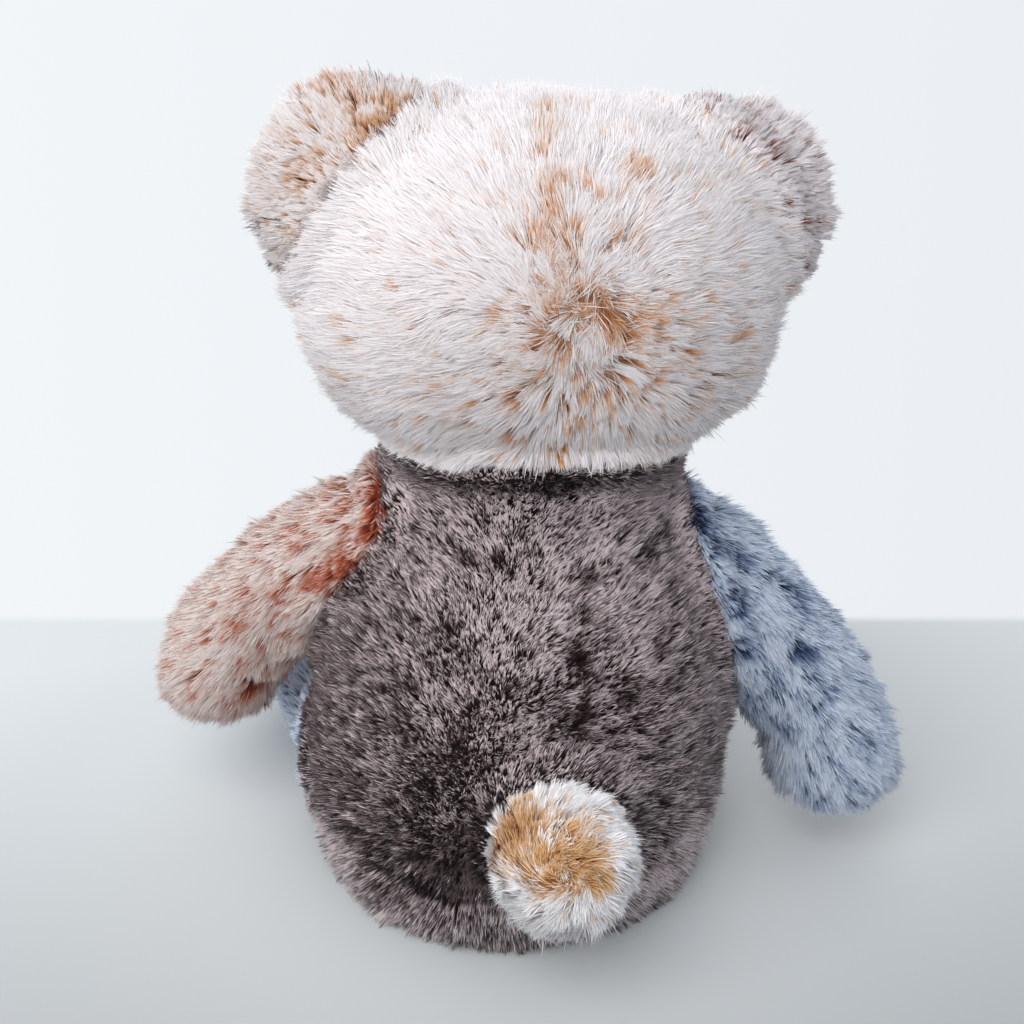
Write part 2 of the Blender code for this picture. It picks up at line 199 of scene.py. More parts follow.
def new_material(name, roughness, specular, sheen=0.0):
    material = bpy.data.materials.new(name)
    material.use_nodes = True
    shader = material.node_tree.nodes["Principled BSDF"]
    shader.inputs["Roughness"].default_value = roughness
    shader.inputs["Specular IOR Level"].default_value = specular
    shader.inputs["Sheen Weight"].default_value = sheen
    shader.inputs["Sheen Roughness"].default_value = 0.5
    return material


def add_node(owner, kind, **values):
    """A shader node of a material or a world, with its properties and plain inputs set."""
    node = owner.node_tree.nodes.new(kind)
    for name, value in values.items():
        if hasattr(node, name):
            setattr(node, name, value)
        else:
            node.inputs[name.replace("_", " ")].default_value = value
    return node


def wire(owner, source, target):
    owner.node_tree.links.new(source, target)


def combined(owner, kind, operation, *sources):
    """The result of a maths node, each of whose inputs is a socket or a plain value."""
    node = add_node(owner, kind, operation=operation)
    for socket, source in zip(node.inputs, sources):
        if isinstance(source, bpy.types.NodeSocket):
            wire(owner, source, socket)
        else:
            socket.default_value = source
    return node.outputs["Value"]


def rescaled(owner, source, span, result=(0.0, 1.0), curve="LINEAR"):
    """A value of this span mapped to the result's."""
    node = add_node(owner, "ShaderNodeMapRange", interpolation_type=curve)
    node.inputs["From Min"].default_value, node.inputs["From Max"].default_value = span
    node.inputs["To Min"].default_value, node.inputs["To Max"].default_value = result
    wire(owner, source, node.inputs["Value"])
    return node.outputs["Result"]


def ramp_node(owner, source, stops):
    """The colour of a ramp of (position, colour) pairs."""
    node = add_node(owner, "ShaderNodeValToRGB")
    ramp = node.color_ramp
    while len(ramp.elements) < len(stops):
        ramp.elements.new(0.5)
    for element, (position, colour) in zip(ramp.elements, stops):
        element.position = position
        element.color = colour
    wire(owner, source, node.inputs[0])
    return node.outputs["Color"]


def pile_material(name, stops):
    """V runs along a blade from root to tip. U says how far down its pale tip reaches, and its tone."""
    material = new_material(name, roughness=0.75, specular=0.15, sheen=0.15)
    shader = material.node_tree.nodes["Principled BSDF"]
    uv = add_node(material, "ShaderNodeUVMap", uv_map=PILE_UV)
    split = add_node(material, "ShaderNodeSeparateXYZ")
    wire(material, uv.outputs["UV"], split.inputs[0])
    across, along = split.outputs["X"], split.outputs["Y"]
    reach = combined(material, "ShaderNodeMath", "MULTIPLY_ADD", across, FROST_SPREAD, along)
    centred = combined(material, "ShaderNodeMath", "SUBTRACT", reach, FROST_SPREAD / 2)
    colour = ramp_node(material, centred, stops)
    noise = add_node(material, "ShaderNodeTexNoise", noise_dimensions="1D", Scale=61.0, Detail=1.0)
    wire(material, across, noise.inputs["W"])
    tone = rescaled(material, noise.outputs[0], (0.3, 0.7), (0.86, 1.06))
    blend = add_node(material, "ShaderNodeMix", data_type="RGBA", blend_type="MULTIPLY")
    blend.inputs["Factor"].default_value = 1.0
    wire(material, colour, blend.inputs[6])
    wire(material, tone, blend.inputs[7])
    wire(material, blend.outputs[2], shader.inputs["Base Color"])
    return material


def mottled_material(name, tones, scale, roughness, relief=0.3):
    """A fine grain between two tones, with the same grain as a low relief."""
    material = new_material(name, roughness, specular=0.2, sheen=0.1)
    shader = material.node_tree.nodes["Principled BSDF"]
    place = add_node(material, "ShaderNodeTexCoord")
    noise = add_node(material, "ShaderNodeTexNoise", Scale=scale, Detail=4.0, Roughness=0.6)
    wire(material, place.outputs["Object"], noise.inputs["Vector"])
    colour = ramp_node(material, noise.outputs[0], tuple(zip((0.3, 0.7), tones)))
    wire(material, colour, shader.inputs["Base Color"])
    grain = add_node(material, "ShaderNodeBump", Strength=relief, Distance=0.6 * MM)
    wire(material, noise.outputs[0], grain.inputs["Height"])
    wire(material, grain.outputs["Normal"], shader.inputs["Normal"])
    return material


def add_object(name, data):
    piece = bpy.data.objects.new(name, data)
    bpy.context.scene.collection.objects.link(piece)
    return piece


def mesh_arrays(mesh):
    """Vertices, vertex normals and triangles of a mesh, as arrays."""
    mesh.calc_loop_triangles()
    points = np.empty(len(mesh.vertices) * 3)
    mesh.vertices.foreach_get("co", points)
    normals = np.empty(len(mesh.vertices) * 3)
    mesh.vertices.foreach_get("normal", normals)
    faces = np.empty(len(mesh.loop_triangles) * 3, np.int32)
    mesh.loop_triangles.foreach_get("vertices", faces)
    return points.reshape(-1, 3), normals.reshape(-1, 3), faces.reshape(-1, 3)


def face_areas(points, faces):
    first, second, third = points[faces].transpose(1, 0, 2)
    return np.linalg.norm(np.cross(second - first, third - first), axis=1) / 2


def tree_of(name):
    mesh = NODES[name].data
    return BVHTree.FromPolygons([v.co for v in mesh.vertices], [p.vertices for p in mesh.polygons])


TREES = {name: tree_of(name) for name in COVERS}
BOXES = {name: np.array([list(corner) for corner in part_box(name)]) for name in COVERS}


def camera_axes():
    """The camera's place, and its right, up and backward directions."""
    azimuth, elevation = math.radians(CAMERA_AZIMUTH), math.radians(CAMERA_ELEVATION)
    level = math.cos(elevation)
    back = Vector((math.sin(azimuth) * level, -math.cos(azimuth) * level, math.sin(elevation)))
    right = Vector((math.cos(azimuth), math.sin(azimuth), 0))
    return Vector(CAMERA_TARGET) + back * CAMERA_DISTANCE, right, back.cross(right), back


def seen(x, y):
    """The place on the covers that the camera sees at this pixel of its view."""
    eye, right, up, back = camera_axes()
    focal = CAMERA_LENS / SENSOR_WIDTH * VIEW_SIZE
    middle = VIEW_SIZE / 2
    ray = right * (x - middle) / focal - up * (y - middle) / focal - back
    hits = [tree.ray_cast(eye, ray.normalized()) for tree in TREES.values()]
    hits = [hit for hit in hits if hit[0] is not None]
    return np.array(min(hits, key=lambda hit: hit[3])[0])


def seen_marks(marks):
    """Marks given by pixel, with a radius in millimetres and a strength, as places on the covers."""
    return [(seen(x, y), radius * MM, strength) for x, y, radius, strength in marks]


WHORL_LINE = [seen(*pixel) for pixel in WHORL_PIXELS]
WHORL = WHORL_LINE[0]
SKULL_SEAM = [seen(*pixel) for pixel in SKULL_SEAM_PIXELS]
BACK_SEAM = [seen(*pixel) for pixel in BACK_SEAM_PIXELS]
TAIL_POLE = seen(*TAIL_POLE_PIXEL)


def clearance(points, names, reach):
    """How far each point is from these nodes, up to reach. Inside a node it is 0."""
    found = np.full(len(points), reach)
    for name in names:
        low, high = BOXES[name]
        near = np.nonzero(((points > low - reach) & (points < high + reach)).all(axis=1))[0]
        tree = TREES[name]
        for i in near:
            point = Vector(points[i])
            place, normal, _, distance = tree.find_nearest(point)
            if (point - place).dot(normal) < 0:
                distance = 0.0
            if distance < found[i]:
                found[i] = distance
    return found


def closed_skin(name, nodes, voxel, rounds):
    """The outside of these nodes as one even closed mesh: its largest shell, smoothed."""
    shape = bmesh.new()
    for node in nodes:
        shape.from_mesh(NODES[node].data)
    mesh = bpy.data.meshes.new(name)
    shape.to_mesh(mesh)
    shape.free()
    piece = add_object(name, mesh)
    remesh = piece.modifiers.new("remesh", "REMESH")
    remesh.mode = "VOXEL"
    remesh.voxel_size = voxel
    smooth = piece.modifiers.new("smooth", "SMOOTH")
    smooth.factor, smooth.iterations = 0.5, rounds
    graph = bpy.context.evaluated_depsgraph_get()
    even = bpy.data.meshes.new_from_object(piece.evaluated_get(graph))
    bpy.data.objects.remove(piece)
    shells = bmesh.new()
    shells.from_mesh(even)
    kept = largest_shell(shells)
    bmesh.ops.delete(shells, geom=[v for v in shells.verts if v not in kept], context="VERTS")
    shells.to_mesh(even)
    shells.free()
    return even


def sewn_to(nodes):
    """The covers that meet these along a seam."""
    if "body_cover" in nodes:
        return [n for n in COVERS if n.startswith(("arm", "leg", "tail"))] + ["head_cover"]
    if "head_cover" in nodes:
        return [n for n in COVERS if n.startswith(("ear", "muzzle"))] + ["body_cover"]
    if "muzzle" in nodes or nodes[0].startswith("ear"):
        return ["head_cover", "nose"]
    if nodes[0].startswith("leg"):
        return ["body_cover", "foot_pad_left", "foot_pad_right"]
    return ["body_cover"]


def largest_shell(shape):
    left, largest = set(shape.verts), set()
    while left:
        shell, front = set(), [left.pop()]
        while front:
            vertex = front.pop()
            shell.add(vertex)
            for edge in vertex.link_edges:
                other = edge.other_vert(vertex)
                if other in left:
                    left.remove(other)
                    front.append(other)
        if len(shell) > len(largest):
            largest = shell
    return largest


def make_skin(name, nodes, depth, material, voxel=3 * MM, rounds=6, filled_by=()):
    """The backing that the pile grows from, drawn in by the pile's depth where no neighbour is sewn to it.

    What fills a cover is only read, so that the skin has no inner wall.
    """
    mesh = closed_skin(name, [*nodes, *filled_by], voxel, rounds)
    points, normals, _ = mesh_arrays(mesh)
    drawn = depth * smoothstep(SKIN_START, SEAM_REACH, clearance(points, sewn_to(nodes), SEAM_REACH))
    bottom = smoothstep(*SEAT_FACING, -normals[:, 2]) * (points[:, 2] < SEAT_BAND)
    drawn *= 1 - SEAT_SHARE * bottom
    points = points - normals * drawn[:, None]
    mesh.vertices.foreach_set("co", points.ravel())
    mesh.materials.clear()
    mesh.materials.append(material)
    mesh.update()
    mesh.name = name
    piece = add_object(name, mesh)
    mesh.polygons.foreach_set("use_smooth", np.ones(len(mesh.polygons), bool))
    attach(piece, "root")
    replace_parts(piece, *nodes)
    return piece


def nearest_index(points, centres):
    tree = KDTree(len(centres))
    for i, centre in enumerate(centres):
        tree.insert(centre, i)
    tree.balance()
    find = tree.find
    return np.array([find(point)[1] for point in points], np.int64)


def turned_about(vectors, axes, angles):
    """Each vector, perpendicular to its axis, turned about it."""
    return vectors * np.cos(angles)[:, None] + np.cross(axes, vectors) * np.sin(angles)[:, None]


def sample_roots(skin, count, weight, rng):
    """Points spread over a skin, closer together where weight is higher, with the skin's normals there."""
    points, normals, faces = mesh_arrays(skin.data)
    corners = points[faces]
    face_normals = unit(normals[faces].sum(axis=1))
    shares = np.cumsum(face_areas(points, faces) * weight(corners.mean(axis=1), face_normals))
    picks = (np.arange(count) + rng.random(count)) / count * shares[-1]
    face = np.minimum(np.searchsorted(shares, picks), len(faces) - 1)
    a, b = np.sqrt(rng.random(count)), rng.random(count)
    mix = np.stack((1 - a, a * (1 - b), a * b), axis=1)[:, :, None]
    return (corners[face] * mix).sum(axis=1), unit((normals[faces[face]] * mix).sum(axis=1))


def blade_mesh(name, roots, tips, sides, notch, normals, shade, material):
    """One triangle a blade: a point at the root, and a ragged end as wide as the blade."""
    count = len(roots)
    lower = roots + (tips - roots) * notch[:, None]
    points = np.stack((roots, tips + sides, lower - sides), axis=1)
    points[:, :, 2] = np.maximum(points[:, :, 2], FLOOR_CLEARANCE)
    corners = np.arange(count * 3, dtype=np.int32)
    mesh = bpy.data.meshes.new(name)
    mesh.vertices.add(count * 3)
    mesh.vertices.foreach_set("co", points.ravel().astype(np.float32))
    mesh.loops.add(len(corners))
    mesh.loops.foreach_set("vertex_index", corners)
    mesh.polygons.add(count)
    mesh.polygons.foreach_set("loop_start", corners[::3])
    mesh.polygons.foreach_set("use_smooth", np.ones(count, bool))
    mesh.update(calc_edges=True)
    across = np.stack((shade, shade + BLADE_HALF_UV, shade - BLADE_HALF_UV), axis=1)
    along = np.stack((np.full(count, ROOT_V), np.full(count, TIP_V), TIP_V * notch), axis=1)
    uv = np.stack((across.ravel(), along.ravel()), axis=1)
    layer = mesh.uv_layers.new(name=PILE_UV)
    layer.data.foreach_set("uv", uv.ravel().astype(np.float32))
    mesh.normals_split_custom_set_from_vertices(np.repeat(normals, 3, axis=0).tolist())
    mesh.materials.append(material)
    return mesh


def everywhere(value):
    """The same value at every point, whichever way its surface faces."""
    return lambda points, normals=None: np.full(len(points), value)


def in_the_open(roots, normals, own, clearings):
    """Which roots can be seen: none under a neighbour, below the seat or in a clearing."""
    others = [cover for cover in COVERS if cover not in own]
    keep = clearance(roots, others, GAP_REACH) > COVER_GAP
    keep &= ~((normals[:, 2] < UNDERSIDE) & (roots[:, 2] < SEAT_BAND))
    for centre, radius in clearings:
        keep &= np.linalg.norm(roots - np.array(centre), axis=1) > radius
    return keep


def grow_pile(
    name,
    skin,
    material,
    count,
    length,
    lean,
    nap,
    seed,
    weight=everywhere(1.0),
    frost=everywhere(0.5),
    trim=everywhere(1.0),
    gather=everywhere(1.0),
    clump_area=5.0,
    lock_area=60.0,
    pull=(0.4, 0.2),
    width=0.45,
    wander=(9.0, 9.0, 8.0),
    rise=(4.0, 4.0, 5.0),
    fleck=(0.05, 0.10, 0.12),
    dashes=everywhere(0.05),
    stray=everywhere(1.0),
    clearings=(),
    split=None,
):
    """Grows the pile of one skin. Lengths and areas are in millimetres, angles in degrees."""
    rng = np.random.default_rng(seed)
    roots, normals = sample_roots(skin, count, weight, rng)
    own = list(skin["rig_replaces"])
    keep = in_the_open(roots, normals, own, clearings)
    roots, normals = roots[keep], normals[keep]
    count = len(roots)
    gap = clearance(roots, sewn_to(own), SEAM_REACH)
    cut = CUT_AT_SEAM + (1 - CUT_AT_SEAM) * smoothstep(SEAM_START, SEAM_REACH, gap)
    points, _, faces = mesh_arrays(skin.data)
    area = face_areas(points, faces).sum() * MM2_PER_M2
    clumps = rng.choice(count, max(1, int(area / clump_area)), replace=False)
    locks = rng.choice(count, max(1, int(area / lock_area)), replace=False)
    clump_of = nearest_index(roots, roots[clumps])
    lock_of_clump = nearest_index(roots[clumps], roots[locks])

    def spread_out(scale):
        """One draw at each level: for the lock, the clump and the blade itself."""
        by_lock = rng.standard_normal(len(locks)) * scale[0]
        by_clump = by_lock[lock_of_clump] + rng.standard_normal(len(clumps)) * scale[1]
        return by_clump, by_clump[clump_of] + rng.standard_normal(count) * scale[2]

    def drawn(start, spread, number=count):
        return start + spread * rng.random(number)

    turn_clump, turn = spread_out(wander)
    turn_clump, turn = turn_clump * stray(roots[clumps]), turn * stray(roots)
    tilt_clump, tilt = spread_out(rise)
    size_clump, size = spread_out(LENGTH_SPREAD)
    shade = spread_out(fleck)[1]
    bare = rng.random(len(clumps)) < dashes(roots[clumps])
    shade -= (bare * drawn(*BARE_SHADE, len(clumps)))[clump_of]
    turn_lock, tilt_lock, size_lock = (np.zeros(len(locks)) for _ in range(3))

    def tips_of(base, up, turn, tilt, size, cut):
        flow = tangent(nap(base + up * PILE_DEPTH, up), up)
        strength = np.clip(np.linalg.norm(flow, axis=1), 0, 1)
        flow = turned_about(unit(flow), up, np.radians(turn))
        angle = np.radians(np.clip(lean * strength + tilt, 0, STEEPEST_LEAN))
        reach = length * MM * np.clip(1 + size, *LENGTH_RANGE) * trim(base, up) * cut
        return base + (up * np.cos(angle)[:, None] + flow * np.sin(angle)[:, None]) * reach[:, None]

    tips = tips_of(roots, normals, turn, tilt, size, cut)
    shade += frost(tips, normals)
    clump_tips = tips_of(roots[clumps], normals[clumps], turn_clump, tilt_clump, size_clump, cut[clumps])
    lock_tips = tips_of(roots[locks], normals[locks], turn_lock, tilt_lock, size_lock, cut[locks])
    held = gather(roots, normals)
    loose = rng.random(count) < LOOSE_SHARE
    to_clump = np.where(loose, 0, pull[0] * held * drawn(*PULL_SPREAD))[:, None]
    to_lock = np.where(loose, 0, pull[1] * held * drawn(*PULL_SPREAD))[:, None]
    tips = tips + to_clump * (clump_tips[clump_of] - tips)
    tips = tips + to_lock * (lock_tips[lock_of_clump[clump_of]] - tips)

    along = unit(tips - roots)
    twist = np.radians(rng.normal(0, BLADE_TWIST, count))
    sides = turned_about(unit(np.cross(along, normals)), along, twist)
    jitter = rng.normal(0, SHADING_JITTER, (count, 3))
    shading = unit(normals + np.cross(sides, along) * SHADING_ROLL + jitter)
    thinner = np.sqrt(1 / weight(roots, normals))
    sides *= (width * MM / 2 * thinner * drawn(*WIDTH_SPREAD))[:, None]
    notch = drawn(*NOTCH)
    shade = np.clip(shade, *SHADE_RANGE)

    groups = [(name, np.ones(count, bool))]
    if split is not None:
        side = split(roots)
        groups = [(name + "_left", side), (name + "_right", ~side)]
    for label, chosen in groups:
        parts = [a[chosen] for a in (roots, tips, sides, notch, shading, shade)]
        piece = add_object(label, blade_mesh(label, *parts, material))
        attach(piece, "root")


def from_line(points, line):
    """The step to each point from the nearest place on a line of joined points."""
    best = np.full(len(points), np.inf)
    found = np.zeros_like(points)
    for start, end in zip(line[:-1], line[1:]):
        start, end = np.array(start), np.array(end)
        step = end - start
        share = np.clip(((points - start) @ step) / (step @ step), 0, 1)
        away = points - (start + share[:, None] * step)
        distance = np.linalg.norm(away, axis=1)
        closer = distance < best
        best[closer] = distance[closer]
        found[closer] = away[closer]
    return found


def off_line(points, line):
    return np.linalg.norm(from_line(points, line), axis=1)


def bump(distance, radius):
    """1 in the middle and next to nothing beyond twice the radius."""
    return np.exp(-((distance / radius) ** 2))


def patches(points, size, seed, along=None):
    """Soft uneven marks of about this size, near -1 to 1, drawn out along a direction if one is given."""
    rng = np.random.default_rng(seed)
    if along is not None:
        along = unit(np.array(along))
        points = points - PATCH_STRETCH * (points @ along)[:, None] * along
    total = np.zeros(len(points))
    for _ in range(PATCH_WAVES):
        wave = unit(rng.standard_normal(3)) * 2 * math.pi / (size * rng.uniform(0.7, 1.6))
        total += np.sin(points @ wave + rng.uniform(0, 2 * math.pi))
    return total * math.sqrt(2 / PATCH_WAVES) / 2


def spots(points, places):
    """The sum of soft round marks: (centre, radius, strength)."""
    total = np.zeros(len(points))
    for centre, radius, strength in places:
        total += strength * np.exp(-(((points - np.array(centre)) ** 2).sum(axis=1)) / radius**2)
    return total


def toward_back(points, normals):
    """1 where a surface faces the side that the photograph shows, less elsewhere."""
    return HIDDEN_WEIGHT + SEEN_EXTRA * smoothstep(*BACK_TURN, normals @ BACK_VIEW)


def head_nap(points, normals):
    """Outward from the whorl line, up beside the seam above it and down along the seam below it."""
    away = from_line(points, WHORL_LINE)
    down = np.array((0.0, 0.0, -1.0))
    front = smoothstep(*FACE_SIDE, points[:, 1])[:, None]
    flow = unit(away) * (1 - front) + FACE_NAP * front
    seam = from_line(points, SKULL_SEAM)
    beside = bump(np.linalg.norm(seam, axis=1), 0.006)
    below = smoothstep(WHORL[2] + 0.001, WHORL[2] - 0.007, points[:, 2])
    flow = flow + (beside * below * 1.5)[:, None] * down
    flow = flow + (beside * (1 - below) * 0.1 * np.sign(seam[:, 0]))[:, None] * np.array((1.0, 0.0, 0.0))
    from_whorl = np.linalg.norm(points - WHORL, axis=1)
    stir = 0.30 * patches(points, 0.020, 44) + 1.5 * bump(from_whorl, 0.022) * patches(points, 0.011, 43)
    return turned_about(unit(tangent(flow, normals)), normals, stir)


# Marks: a pixel, a radius in millimetres and a change of shade
HEAD_MARKS = (
    (548, 345, 4.0, -0.5),
    (543, 378, 4.2, -0.5),
    (564, 368, 3.4, -0.5),
    (612, 332, 4.2, -0.5),
    (606, 376, 4.0, -0.5),
    (600, 402, 3.6, -0.5),
    (577, 390, 3.0, -0.35),
    (580, 435, 3.2, -0.4),
    (622, 419, 4.0, -0.4),
    (545, 305, 4.5, -0.25),
    (529, 288, 4.0, -0.25),
    (570, 300, 4.0, -0.15),
    (623, 318, 4.0, -0.25),
    (640, 340, 4.0, -0.3),
    (655, 300, 4.0, -0.3),
    (675, 330, 5.0, -0.3),
    (700, 355, 5.0, -0.25),
    (690, 300, 4.0, -0.3),
    (660, 380, 5.0, -0.25),
    (645, 410, 4.0, -0.25),
    (725, 300, 4.0, -0.25),
    (500, 400, 4.0, -0.20),
    (520, 345, 3.5, -0.20),
    (640, 155, 5.0, -0.45),
    (590, 165, 4.0, -0.2),
    (536, 225, 4.0, -0.3),
    (586, 345, 3.0, 0.4),
    (592, 365, 2.6, 0.4),
    (574, 412, 3.0, 0.4),
    (594, 384, 2.2, 0.4),
)


def head_frost(points, normals):
    seam = off_line(points, SKULL_SEAM)
    from_whorl = off_line(points, WHORL_LINE)
    above = smoothstep(WHORL[2] - 0.004, WHORL[2] + 0.004, points[:, 2])
    uneven = patches(points, 0.010, 3)
    band = above * bump(seam, 0.0058) * smoothstep(*HEAD_TOP, points[:, 2]) * (0.9 + 0.6 * uneven)
    low = smoothstep(*NECK_SHADE_AND_TONE, points[:, 2])
    # Painted shade darkens the head a little toward the neck
    shade = 0.92 - 0.70 * band - 0.03 * low
    shade += (0.05 + 0.20 * low + 0.30 * bump(from_whorl, 0.03)) * uneven + 0.05 * bump(from_whorl, 0.02)
    return shade + HEAD_MARK_STRENGTH * spots(points, seen_marks(HEAD_MARKS))


def head_dashes(points):
    """The share of clumps whose coloured roots show."""
    from_whorl = off_line(points, WHORL_LINE)
    low = smoothstep(*NECK_ROOTS, points[:, 2])
    right = smoothstep(0.0, -0.04, points[:, 0])
    return 0.035 + 0.09 * low + 0.05 * right + 0.16 * bump(from_whorl, 0.025)


def head_trim(points, normals):
    """Shorter blades where the head goes down over the neck."""
    return 1 - 0.45 * smoothstep(*NECK_TRIM, points[:, 2])


def head_gather(points, normals):
    from_whorl = off_line(points, WHORL_LINE)
    low = smoothstep(*NECK_TUFTS, points[:, 2])
    return 0.3 + 1.5 * bump(from_whorl, 0.020) + 0.6 * low


def head_weight(points, normals):
    from_whorl = np.linalg.norm(points - WHORL, axis=1)
    return toward_back(points, normals) * (1 + 0.9 * bump(from_whorl, 0.009))


def head_stray(points):
    """Blades turn aside more at the gather than elsewhere."""
    return 1 + 5.0 * bump(np.linalg.norm(points - WHORL, axis=1), 0.011)


def body_nap(points, normals):
    """Up the back, fanning out to both sides, and outward round the gathered bottom."""
    fan = np.interp(points[:, 0], (-0.060, -0.010, 0.025, 0.060), (-0.80, -0.60, -0.10, 0.45))
    high = smoothstep(0.100, 0.125, points[:, 2])
    fan = fan * (1 - 0.45 * high) + 0.25 * high * smoothstep(-0.01, 0.03, points[:, 0])
    rise = 1.15 * smoothstep(0.012, 0.05, points[:, 2]) - 0.15
    return np.stack((fan, np.zeros(len(points)), rise), axis=1)


BODY_MARKS = (
    # Darker fur and painted shade over the lower left of the body
    (450, 780, 20.0, -0.10),
    (406, 681, 3.0, -0.40),
    (442, 619, 4.0, -0.30),
    (362, 655, 2.5, -0.30),
    (345, 690, 2.5, -0.30),
    # Darker fur and painted shade low on the body
    (380, 890, 9.0, -0.28),
    (430, 915, 8.0, -0.20),
    (450, 545, 2.6, -0.45),
    (460, 560, 2.6, -0.55),
    (488, 557, 3.4, -0.50),
    (510, 558, 3.0, -0.40),
    (531, 552, 2.6, -0.40),
    (483, 518, 3.0, -0.35),
    (515, 530, 2.6, -0.30),
    (465, 494, 3.0, -0.30),
    (539, 494, 3.0, -0.30),
    (551, 477, 4.0, -0.50),
    (575, 482, 5.0, -0.40),
    (590, 575, 3.5, -0.50),
    (612, 555, 3.0, -0.35),
    (655, 545, 4.0, -0.50),
    (672, 525, 3.5, -0.40),
    (582, 655, 3.5, -0.60),
    (589, 674, 2.8, -0.40),
    (588, 705, 3.0, -0.45),
    (586, 729, 3.0, -0.45),
    (668, 629, 2.5, -0.35),
    (618, 636, 2.5, -0.30),
    (633, 695, 3.5, -0.25),
    (583, 613, 2.5, -0.35),
    (640, 660, 9.0, 0.10),
    (370, 620, 9.0, 0.12),
    (520, 500, 9.0, 0.10),
)


def body_frost(points, normals):
    seam = off_line(points, BACK_SEAM)
    # Painted shade darkens a band along the crease
    crease_shade = bump(points[:, 2] - CREASE_HEIGHT, 0.0028)
    # Painted light makes the fur paler toward the top of the body
    high = smoothstep(0.09, 0.13, points[:, 2])
    shade = 0.55 + 0.20 * high - 0.08 * bump(seam, 0.0035) - 0.06 * crease_shade
    shade += 0.13 * patches(points, 0.014, 5) + 0.10 * patches(points, 0.005, 6)
    return shade + BODY_MARK_STRENGTH * spots(points, seen_marks(BODY_MARKS))


def outward_nap(centre):
    """Away from a place on all sides."""

    def flow(points, normals):
        return unit(points - np.array(centre))

    return flow


def tail_nap(points, normals):
    """A turn round the ball with small whirls in it."""
    away = points - TAIL_CENTRE
    around = np.cross(away, TAIL_AXIS)
    outward = away - TAIL_AXIS * (away @ TAIL_AXIS)[:, None]
    slopes = []
    for step in np.eye(3) * MM:
        slopes.append(patches(points + step, 0.022, 41) - patches(points - step, 0.022, 41))
    whirl = np.cross(normals, np.stack(slopes, axis=1))
    droop = np.array((-0.25, 0.0, -0.25))
    return unit(unit(around) * 0.75 + unit(outward) * 0.35 + whirl * 2.2 + droop)


TAIL_MARKS = (
    (548, 842, 16.0, -0.80),
    (515, 815, 10.0, -0.55),
    (500, 850, 8.0, -0.55),
    (590, 868, 11.0, -0.55),
    (612, 890, 6.5, -0.55),
    (535, 798, 4.0, -0.40),
    (590, 812, 5.0, -0.40),
    (505, 905, 6.0, 0.30),
    (553, 836, 2.4, 0.60),
    (528, 845, 2.0, 0.50),
    (566, 868, 2.0, 0.50),
)


def tail_stray(points):
    return 1 + 4.0 * bump(np.linalg.norm(points - TAIL_POLE, axis=1), 0.010)


def tail_frost(points, normals):
    """Pale tips with the tan marks."""
    return 0.94 + 0.14 * patches(points, 0.007, 9) + spots(points, seen_marks(TAIL_MARKS))


def patchy_frost(value, depth, size, seed, marks=(), along=None):
    def shade(points, normals):
        return value + depth * patches(points, size, seed, along) + spots(points, seen_marks(marks))

    return shade


def steady_nap(direction):
    direction = np.array(direction)

    def flow(points, normals):
        return np.tile(direction, (len(points), 1))

    return flow


PILE_STOPS = {
    "cream": (
        (0.0, linear(170, 104, 60)),
        (0.20, linear(212, 150, 102)),
        (0.42, linear(234, 204, 182)),
        (0.62, linear(242, 228, 222)),
        (0.90, linear(247, 241, 242)),
    ),
    "beige": (
        (0.0, linear(136, 80, 50)),
        (0.26, linear(204, 150, 104)),
        (0.50, linear(226, 202, 188)),
        (0.85, linear(238, 230, 230)),
    ),
    # The right ear's pile: its whitest tips are partly painted light on a side that the key light misses
    "dark_rust": (
        (0.0, linear(84, 28, 20)),
        (0.26, linear(146, 80, 64)),
        (0.50, linear(208, 180, 174)),
        (0.80, linear(245, 237, 239)),
    ),
    "rust": (
        (0.0, linear(118, 38, 18)),
        (0.28, linear(184, 88, 56)),
        (0.50, linear(214, 170, 154)),
        (0.85, linear(236, 220, 214)),
    ),
    "blue": (
        (0.0, linear(24, 32, 58)),
        (0.28, linear(78, 94, 130)),
        (0.50, linear(166, 182, 210)),
        (0.85, linear(214, 224, 240)),
    ),
    "brown": (
        (0.0, linear(20, 9, 9)),
        (0.34, linear(54, 33, 32)),
        (0.58, linear(132, 113, 115)),
        (0.86, linear(230, 214, 216)),
    ),
    "tan": (
        (0.0, linear(170, 112, 66)),
        (0.22, linear(208, 156, 102)),
        (0.42, linear(230, 192, 146)),
        (0.64, linear(244, 234, 230)),
        (0.80, linear(250, 248, 250)),
    ),
}
BACKINGS = {
    "cream": (linear(186, 142, 108), linear(214, 178, 148)),
    "beige": (linear(130, 86, 62), linear(160, 114, 86)),
    "dark_rust": (linear(56, 26, 22), linear(84, 44, 36)),
    "rust": (linear(110, 46, 26), linear(140, 64, 40)),
    "blue": (linear(34, 42, 64), linear(58, 68, 94)),
    "brown": (linear(22, 12, 12), linear(40, 26, 26)),
    "tan": (linear(170, 116, 68), linear(196, 142, 92)),
}


NOSE_TONES = (linear(40, 27, 25), linear(74, 54, 50))
SOLE_TONES = (linear(166, 128, 104), linear(214, 180, 156))
FIBRE_TONES = (linear(214, 214, 210), linear(244, 244, 242))
COTTON_TONES = (linear(198, 192, 178), linear(222, 218, 206))
WASHER_TONES = (linear(214, 214, 210), linear(226, 226, 222))
EYE_TONE = linear(22, 18, 18)


def sewn_panel(name, nodes, colour, depth, voxel=3 * MM, filled_by=()):
    """A skin in one of the plush colours and the material of its pile."""
    backing = mottled_material(f"{name}_backing", BACKINGS[colour], 400, 0.9)
    skin = make_skin(f"{name}_skin", nodes, depth, backing, voxel, filled_by=filled_by)
    return skin, pile_material(f"{name}_pile", PILE_STOPS[colour])


def middle_of(node):
    return sum(map(np.array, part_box(node))) / 2


